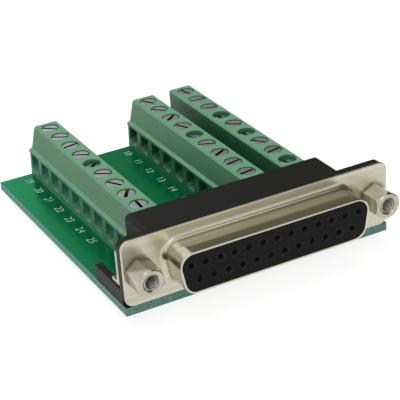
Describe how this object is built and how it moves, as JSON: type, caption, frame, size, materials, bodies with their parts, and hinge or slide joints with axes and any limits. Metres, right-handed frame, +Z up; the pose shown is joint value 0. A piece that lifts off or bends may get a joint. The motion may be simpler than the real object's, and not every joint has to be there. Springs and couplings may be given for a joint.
{
  "type": "d-sub screw-terminal breakout board",
  "caption": "Small green circuit board with a right-angle D-sub socket and jackscrews on one edge, its contacts brought out to rows of screw terminals.",
  "frame": {"origin": "under the middle of the part, at the height of the solder tails' ends", "axes": "+X along the connector to the right seen from the mating side, +Y from the mating side to the back edge of the board, +Z up from the board's component side"},
  "size_m": [0.053, 0.0652, 0.0159],
  "materials": {
    "solder_mask": "glossy green solder mask",
    "green_moulding": "satin muted green moulding",
    "plated_sheet": "satin nickel plating",
    "black_moulding": "satin black moulding",
    "plated_hardware": "bright nickel plating",
    "contact_metal": "tinned copper alloy",
    "screw_steel": "zinc plating",
    "clamp_metal": "nickel-plated brass"
  },
  "bodies": {
    "board": {"circuit_board": "solder_mask", "terminal_housings": "green_moulding", "connector_shell": "plated_sheet", "connector_insulator": "black_moulding", "jackscrews_and_ground_brackets": "plated_hardware", "socket_contacts_and_current_bars": "contact_metal"},
    "terminal_screw_01": {"terminal_screw_01": "screw_steel"},
    "clamp_sleeve_01": {"clamp_sleeve_01": "clamp_metal"},
    "terminal_screw_02": {"terminal_screw_02": "screw_steel"},
    "clamp_sleeve_02": {"clamp_sleeve_02": "clamp_metal"},
    "terminal_screw_03": {"terminal_screw_03": "screw_steel"},
    "clamp_sleeve_03": {"clamp_sleeve_03": "clamp_metal"},
    "terminal_screw_04": {"terminal_screw_04": "screw_steel"},
    "clamp_sleeve_04": {"clamp_sleeve_04": "clamp_metal"},
    "terminal_screw_05": {"terminal_screw_05": "screw_steel"},
    "clamp_sleeve_05": {"clamp_sleeve_05": "clamp_metal"},
    "terminal_screw_06": {"terminal_screw_06": "screw_steel"},
    "clamp_sleeve_06": {"clamp_sleeve_06": "clamp_metal"},
    "terminal_screw_07": {"terminal_screw_07": "screw_steel"},
    "clamp_sleeve_07": {"clamp_sleeve_07": "clamp_metal"},
    "terminal_screw_08": {"terminal_screw_08": "screw_steel"},
    "clamp_sleeve_08": {"clamp_sleeve_08": "clamp_metal"},
    "terminal_screw_09": {"terminal_screw_09": "screw_steel"},
    "clamp_sleeve_09": {"clamp_sleeve_09": "clamp_metal"},
    "terminal_screw_10": {"terminal_screw_10": "screw_steel"},
    "clamp_sleeve_10": {"clamp_sleeve_10": "clamp_metal"},
    "terminal_screw_11": {"terminal_screw_11": "screw_steel"},
    "clamp_sleeve_11": {"clamp_sleeve_11": "clamp_metal"},
    "terminal_screw_12": {"terminal_screw_12": "screw_steel"},
    "clamp_sleeve_12": {"clamp_sleeve_12": "clamp_metal"},
    "terminal_screw_13": {"terminal_screw_13": "screw_steel"},
    "clamp_sleeve_13": {"clamp_sleeve_13": "clamp_metal"},
    "terminal_screw_14": {"terminal_screw_14": "screw_steel"},
    "clamp_sleeve_14": {"clamp_sleeve_14": "clamp_metal"},
    "terminal_screw_15": {"terminal_screw_15": "screw_steel"},
    "clamp_sleeve_15": {"clamp_sleeve_15": "clamp_metal"},
    "terminal_screw_16": {"terminal_screw_16": "screw_steel"},
    "clamp_sleeve_16": {"clamp_sleeve_16": "clamp_metal"},
    "terminal_screw_17": {"terminal_screw_17": "screw_steel"},
    "clamp_sleeve_17": {"clamp_sleeve_17": "clamp_metal"},
    "terminal_screw_18": {"terminal_screw_18": "screw_steel"},
    "clamp_sleeve_18": {"clamp_sleeve_18": "clamp_metal"},
    "terminal_screw_19": {"terminal_screw_19": "screw_steel"},
    "clamp_sleeve_19": {"clamp_sleeve_19": "clamp_metal"},
    "terminal_screw_20": {"terminal_screw_20": "screw_steel"},
    "clamp_sleeve_20": {"clamp_sleeve_20": "clamp_metal"},
    "terminal_screw_21": {"terminal_screw_21": "screw_steel"},
    "clamp_sleeve_21": {"clamp_sleeve_21": "clamp_metal"},
    "terminal_screw_22": {"terminal_screw_22": "screw_steel"},
    "clamp_sleeve_22": {"clamp_sleeve_22": "clamp_metal"},
    "terminal_screw_23": {"terminal_screw_23": "screw_steel"},
    "clamp_sleeve_23": {"clamp_sleeve_23": "clamp_metal"},
    "terminal_screw_24": {"terminal_screw_24": "screw_steel"},
    "clamp_sleeve_24": {"clamp_sleeve_24": "clamp_metal"},
    "terminal_screw_25": {"terminal_screw_25": "screw_steel"},
    "clamp_sleeve_25": {"clamp_sleeve_25": "clamp_metal"},
    "terminal_screw_26": {"terminal_screw_26": "screw_steel"},
    "clamp_sleeve_26": {"clamp_sleeve_26": "clamp_metal"},
    "terminal_screw_27": {"terminal_screw_27": "screw_steel"},
    "clamp_sleeve_27": {"clamp_sleeve_27": "clamp_metal"}
  },
  "joints": [
    {"name": "terminal_screw_01_turn", "type": "hinge", "parent": "board", "child": "terminal_screw_01", "pos_m": [0.0154, 0.03003, 0.0125], "axis": [0, 0, -1], "range_deg": [0, 1350]},
    {"name": "clamp_sleeve_01_lift", "type": "slide", "parent": "board", "child": "clamp_sleeve_01", "axis": [0, 0, 1], "range_m": [0, 0.00169]},
    {"name": "terminal_screw_02_turn", "type": "hinge", "parent": "board", "child": "terminal_screw_02", "pos_m": [0.0154, 0.02496, 0.0125], "axis": [0, 0, -1], "range_deg": [0, 1350]},
    {"name": "clamp_sleeve_02_lift", "type": "slide", "parent": "board", "child": "clamp_sleeve_02", "axis": [0, 0, 1], "range_m": [0, 0.00169]},
    {"name": "terminal_screw_03_turn", "type": "hinge", "parent": "board", "child": "terminal_screw_03", "pos_m": [0.0154, 0.01988, 0.0125], "axis": [0, 0, -1], "range_deg": [0, 1350]},
    {"name": "clamp_sleeve_03_lift", "type": "slide", "parent": "board", "child": "clamp_sleeve_03", "axis": [0, 0, 1], "range_m": [0, 0.00169]},
    {"name": "terminal_screw_04_turn", "type": "hinge", "parent": "board", "child": "terminal_screw_04", "pos_m": [0.0154, 0.0148, 0.0125], "axis": [0, 0, -1], "range_deg": [0, 1350]},
    {"name": "clamp_sleeve_04_lift", "type": "slide", "parent": "board", "child": "clamp_sleeve_04", "axis": [0, 0, 1], "range_m": [0, 0.00169]},
    {"name": "terminal_screw_05_turn", "type": "hinge", "parent": "board", "child": "terminal_screw_05", "pos_m": [0.0154, 0.00971, 0.0125], "axis": [0, 0, -1], "range_deg": [0, 1350]},
    {"name": "clamp_sleeve_05_lift", "type": "slide", "parent": "board", "child": "clamp_sleeve_05", "axis": [0, 0, 1], "range_m": [0, 0.00169]},
    {"name": "terminal_screw_06_turn", "type": "hinge", "parent": "board", "child": "terminal_screw_06", "pos_m": [0.0154, 0.00464, 0.0125], "axis": [0, 0, -1], "range_deg": [0, 1350]},
    {"name": "clamp_sleeve_06_lift", "type": "slide", "parent": "board", "child": "clamp_sleeve_06", "axis": [0, 0, 1], "range_m": [0, 0.00169]},
    {"name": "terminal_screw_07_turn", "type": "hinge", "parent": "board", "child": "terminal_screw_07", "pos_m": [0.0154, -0.00044, 0.0125], "axis": [0, 0, -1], "range_deg": [0, 1350]},
    {"name": "clamp_sleeve_07_lift", "type": "slide", "parent": "board", "child": "clamp_sleeve_07", "axis": [0, 0, 1], "range_m": [0, 0.00169]},
    {"name": "terminal_screw_08_turn", "type": "hinge", "parent": "board", "child": "terminal_screw_08", "pos_m": [0.0154, -0.00553, 0.0125], "axis": [0, 0, -1], "range_deg": [0, 1350]},
    {"name": "clamp_sleeve_08_lift", "type": "slide", "parent": "board", "child": "clamp_sleeve_08", "axis": [0, 0, 1], "range_m": [0, 0.00169]},
    {"name": "terminal_screw_09_turn", "type": "hinge", "parent": "board", "child": "terminal_screw_09", "pos_m": [0.0154, -0.0106, 0.0125], "axis": [0, 0, -1], "range_deg": [0, 1350]},
    {"name": "clamp_sleeve_09_lift", "type": "slide", "parent": "board", "child": "clamp_sleeve_09", "axis": [0, 0, 1], "range_m": [0, 0.00169]},
    {"name": "terminal_screw_10_turn", "type": "hinge", "parent": "board", "child": "terminal_screw_10", "pos_m": [0.00665, 0.03003, 0.0125], "axis": [0, 0, -1], "range_deg": [0, 1350]},
    {"name": "clamp_sleeve_10_lift", "type": "slide", "parent": "board", "child": "clamp_sleeve_10", "axis": [0, 0, 1], "range_m": [0, 0.00169]},
    {"name": "terminal_screw_11_turn", "type": "hinge", "parent": "board", "child": "terminal_screw_11", "pos_m": [0.00665, 0.02496, 0.0125], "axis": [0, 0, -1], "range_deg": [0, 1350]},
    {"name": "clamp_sleeve_11_lift", "type": "slide", "parent": "board", "child": "clamp_sleeve_11", "axis": [0, 0, 1], "range_m": [0, 0.00169]},
    {"name": "terminal_screw_12_turn", "type": "hinge", "parent": "board", "child": "terminal_screw_12", "pos_m": [0.00665, 0.01988, 0.0125], "axis": [0, 0, -1], "range_deg": [0, 1350]},
    {"name": "clamp_sleeve_12_lift", "type": "slide", "parent": "board", "child": "clamp_sleeve_12", "axis": [0, 0, 1], "range_m": [0, 0.00169]},
    {"name": "terminal_screw_13_turn", "type": "hinge", "parent": "board", "child": "terminal_screw_13", "pos_m": [0.00665, 0.0148, 0.0125], "axis": [0, 0, -1], "range_deg": [0, 1350]},
    {"name": "clamp_sleeve_13_lift", "type": "slide", "parent": "board", "child": "clamp_sleeve_13", "axis": [0, 0, 1], "range_m": [0, 0.00169]},
    {"name": "terminal_screw_14_turn", "type": "hinge", "parent": "board", "child": "terminal_screw_14", "pos_m": [0.00665, 0.00971, 0.0125], "axis": [0, 0, -1], "range_deg": [0, 1350]},
    {"name": "clamp_sleeve_14_lift", "type": "slide", "parent": "board", "child": "clamp_sleeve_14", "axis": [0, 0, 1], "range_m": [0, 0.00169]},
    {"name": "terminal_screw_15_turn", "type": "hinge", "parent": "board", "child": "terminal_screw_15", "pos_m": [0.00665, 0.00464, 0.0125], "axis": [0, 0, -1], "range_deg": [0, 1350]},
    {"name": "clamp_sleeve_15_lift", "type": "slide", "parent": "board", "child": "clamp_sleeve_15", "axis": [0, 0, 1], "range_m": [0, 0.00169]},
    {"name": "terminal_screw_16_turn", "type": "hinge", "parent": "board", "child": "terminal_screw_16", "pos_m": [0.00665, -0.00044, 0.0125], "axis": [0, 0, -1], "range_deg": [0, 1350]},
    {"name": "clamp_sleeve_16_lift", "type": "slide", "parent": "board", "child": "clamp_sleeve_16", "axis": [0, 0, 1], "range_m": [0, 0.00169]},
    {"name": "terminal_screw_17_turn", "type": "hinge", "parent": "board", "child": "terminal_screw_17", "pos_m": [0.00665, -0.00553, 0.0125], "axis": [0, 0, -1], "range_deg": [0, 1350]},
    {"name": "clamp_sleeve_17_lift", "type": "slide", "parent": "board", "child": "clamp_sleeve_17", "axis": [0, 0, 1], "range_m": [0, 0.00169]},
    {"name": "terminal_screw_18_turn", "type": "hinge", "parent": "board", "child": "terminal_screw_18", "pos_m": [0.00665, -0.0106, 0.0125], "axis": [0, 0, -1], "range_deg": [0, 1350]},
    {"name": "clamp_sleeve_18_lift", "type": "slide", "parent": "board", "child": "clamp_sleeve_18", "axis": [0, 0, 1], "range_m": [0, 0.00169]},
    {"name": "terminal_screw_19_turn", "type": "hinge", "parent": "board", "child": "terminal_screw_19", "pos_m": [-0.0154, 0.03003, 0.0125], "axis": [0, 0, -1], "range_deg": [0, 1350]},
    {"name": "clamp_sleeve_19_lift", "type": "slide", "parent": "board", "child": "clamp_sleeve_19", "axis": [0, 0, 1], "range_m": [0, 0.00169]},
    {"name": "terminal_screw_20_turn", "type": "hinge", "parent": "board", "child": "terminal_screw_20", "pos_m": [-0.0154, 0.02496, 0.0125], "axis": [0, 0, -1], "range_deg": [0, 1350]},
    {"name": "clamp_sleeve_20_lift", "type": "slide", "parent": "board", "child": "clamp_sleeve_20", "axis": [0, 0, 1], "range_m": [0, 0.00169]},
    {"name": "terminal_screw_21_turn", "type": "hinge", "parent": "board", "child": "terminal_screw_21", "pos_m": [-0.0154, 0.01988, 0.0125], "axis": [0, 0, -1], "range_deg": [0, 1350]},
    {"name": "clamp_sleeve_21_lift", "type": "slide", "parent": "board", "child": "clamp_sleeve_21", "axis": [0, 0, 1], "range_m": [0, 0.00169]},
    {"name": "terminal_screw_22_turn", "type": "hinge", "parent": "board", "child": "terminal_screw_22", "pos_m": [-0.0154, 0.0148, 0.0125], "axis": [0, 0, -1], "range_deg": [0, 1350]},
    {"name": "clamp_sleeve_22_lift", "type": "slide", "parent": "board", "child": "clamp_sleeve_22", "axis": [0, 0, 1], "range_m": [0, 0.00169]},
    {"name": "terminal_screw_23_turn", "type": "hinge", "parent": "board", "child": "terminal_screw_23", "pos_m": [-0.0154, 0.00971, 0.0125], "axis": [0, 0, -1], "range_deg": [0, 1350]},
    {"name": "clamp_sleeve_23_lift", "type": "slide", "parent": "board", "child": "clamp_sleeve_23", "axis": [0, 0, 1], "range_m": [0, 0.00169]},
    {"name": "terminal_screw_24_turn", "type": "hinge", "parent": "board", "child": "terminal_screw_24", "pos_m": [-0.0154, 0.00464, 0.0125], "axis": [0, 0, -1], "range_deg": [0, 1350]},
    {"name": "clamp_sleeve_24_lift", "type": "slide", "parent": "board", "child": "clamp_sleeve_24", "axis": [0, 0, 1], "range_m": [0, 0.00169]},
    {"name": "terminal_screw_25_turn", "type": "hinge", "parent": "board", "child": "terminal_screw_25", "pos_m": [-0.0154, -0.00044, 0.0125], "axis": [0, 0, -1], "range_deg": [0, 1350]},
    {"name": "clamp_sleeve_25_lift", "type": "slide", "parent": "board", "child": "clamp_sleeve_25", "axis": [0, 0, 1], "range_m": [0, 0.00169]},
    {"name": "terminal_screw_26_turn", "type": "hinge", "parent": "board", "child": "terminal_screw_26", "pos_m": [-0.0154, -0.00553, 0.0125], "axis": [0, 0, -1], "range_deg": [0, 1350]},
    {"name": "clamp_sleeve_26_lift", "type": "slide", "parent": "board", "child": "clamp_sleeve_26", "axis": [0, 0, 1], "range_m": [0, 0.00169]},
    {"name": "terminal_screw_27_turn", "type": "hinge", "parent": "board", "child": "terminal_screw_27", "pos_m": [-0.0154, -0.0106, 0.0125], "axis": [0, 0, -1], "range_deg": [0, 1350]},
    {"name": "clamp_sleeve_27_lift", "type": "slide", "parent": "board", "child": "clamp_sleeve_27", "axis": [0, 0, 1], "range_m": [0, 0.00169]}
  ],
  "couplings": [
    {"joint": "terminal_screw_01_turn", "follows": "clamp_sleeve_01_lift", "rad_per_m": 13963},
    {"joint": "terminal_screw_02_turn", "follows": "clamp_sleeve_02_lift", "rad_per_m": 13963},
    {"joint": "terminal_screw_03_turn", "follows": "clamp_sleeve_03_lift", "rad_per_m": 13963},
    {"joint": "terminal_screw_04_turn", "follows": "clamp_sleeve_04_lift", "rad_per_m": 13963},
    {"joint": "terminal_screw_05_turn", "follows": "clamp_sleeve_05_lift", "rad_per_m": 13963},
    {"joint": "terminal_screw_06_turn", "follows": "clamp_sleeve_06_lift", "rad_per_m": 13963},
    {"joint": "terminal_screw_07_turn", "follows": "clamp_sleeve_07_lift", "rad_per_m": 13963},
    {"joint": "terminal_screw_08_turn", "follows": "clamp_sleeve_08_lift", "rad_per_m": 13963},
    {"joint": "terminal_screw_09_turn", "follows": "clamp_sleeve_09_lift", "rad_per_m": 13963},
    {"joint": "terminal_screw_10_turn", "follows": "clamp_sleeve_10_lift", "rad_per_m": 13963},
    {"joint": "terminal_screw_11_turn", "follows": "clamp_sleeve_11_lift", "rad_per_m": 13963},
    {"joint": "terminal_screw_12_turn", "follows": "clamp_sleeve_12_lift", "rad_per_m": 13963},
    {"joint": "terminal_screw_13_turn", "follows": "clamp_sleeve_13_lift", "rad_per_m": 13963},
    {"joint": "terminal_screw_14_turn", "follows": "clamp_sleeve_14_lift", "rad_per_m": 13963},
    {"joint": "terminal_screw_15_turn", "follows": "clamp_sleeve_15_lift", "rad_per_m": 13963},
    {"joint": "terminal_screw_16_turn", "follows": "clamp_sleeve_16_lift", "rad_per_m": 13963},
    {"joint": "terminal_screw_17_turn", "follows": "clamp_sleeve_17_lift", "rad_per_m": 13963},
    {"joint": "terminal_screw_18_turn", "follows": "clamp_sleeve_18_lift", "rad_per_m": 13963},
    {"joint": "terminal_screw_19_turn", "follows": "clamp_sleeve_19_lift", "rad_per_m": 13963},
    {"joint": "terminal_screw_20_turn", "follows": "clamp_sleeve_20_lift", "rad_per_m": 13963},
    {"joint": "terminal_screw_21_turn", "follows": "clamp_sleeve_21_lift", "rad_per_m": 13963},
    {"joint": "terminal_screw_22_turn", "follows": "clamp_sleeve_22_lift", "rad_per_m": 13963},
    {"joint": "terminal_screw_23_turn", "follows": "clamp_sleeve_23_lift", "rad_per_m": 13963},
    {"joint": "terminal_screw_24_turn", "follows": "clamp_sleeve_24_lift", "rad_per_m": 13963},
    {"joint": "terminal_screw_25_turn", "follows": "clamp_sleeve_25_lift", "rad_per_m": 13963},
    {"joint": "terminal_screw_26_turn", "follows": "clamp_sleeve_26_lift", "rad_per_m": 13963},
    {"joint": "terminal_screw_27_turn", "follows": "clamp_sleeve_27_lift", "rad_per_m": 13963}
  ]
}
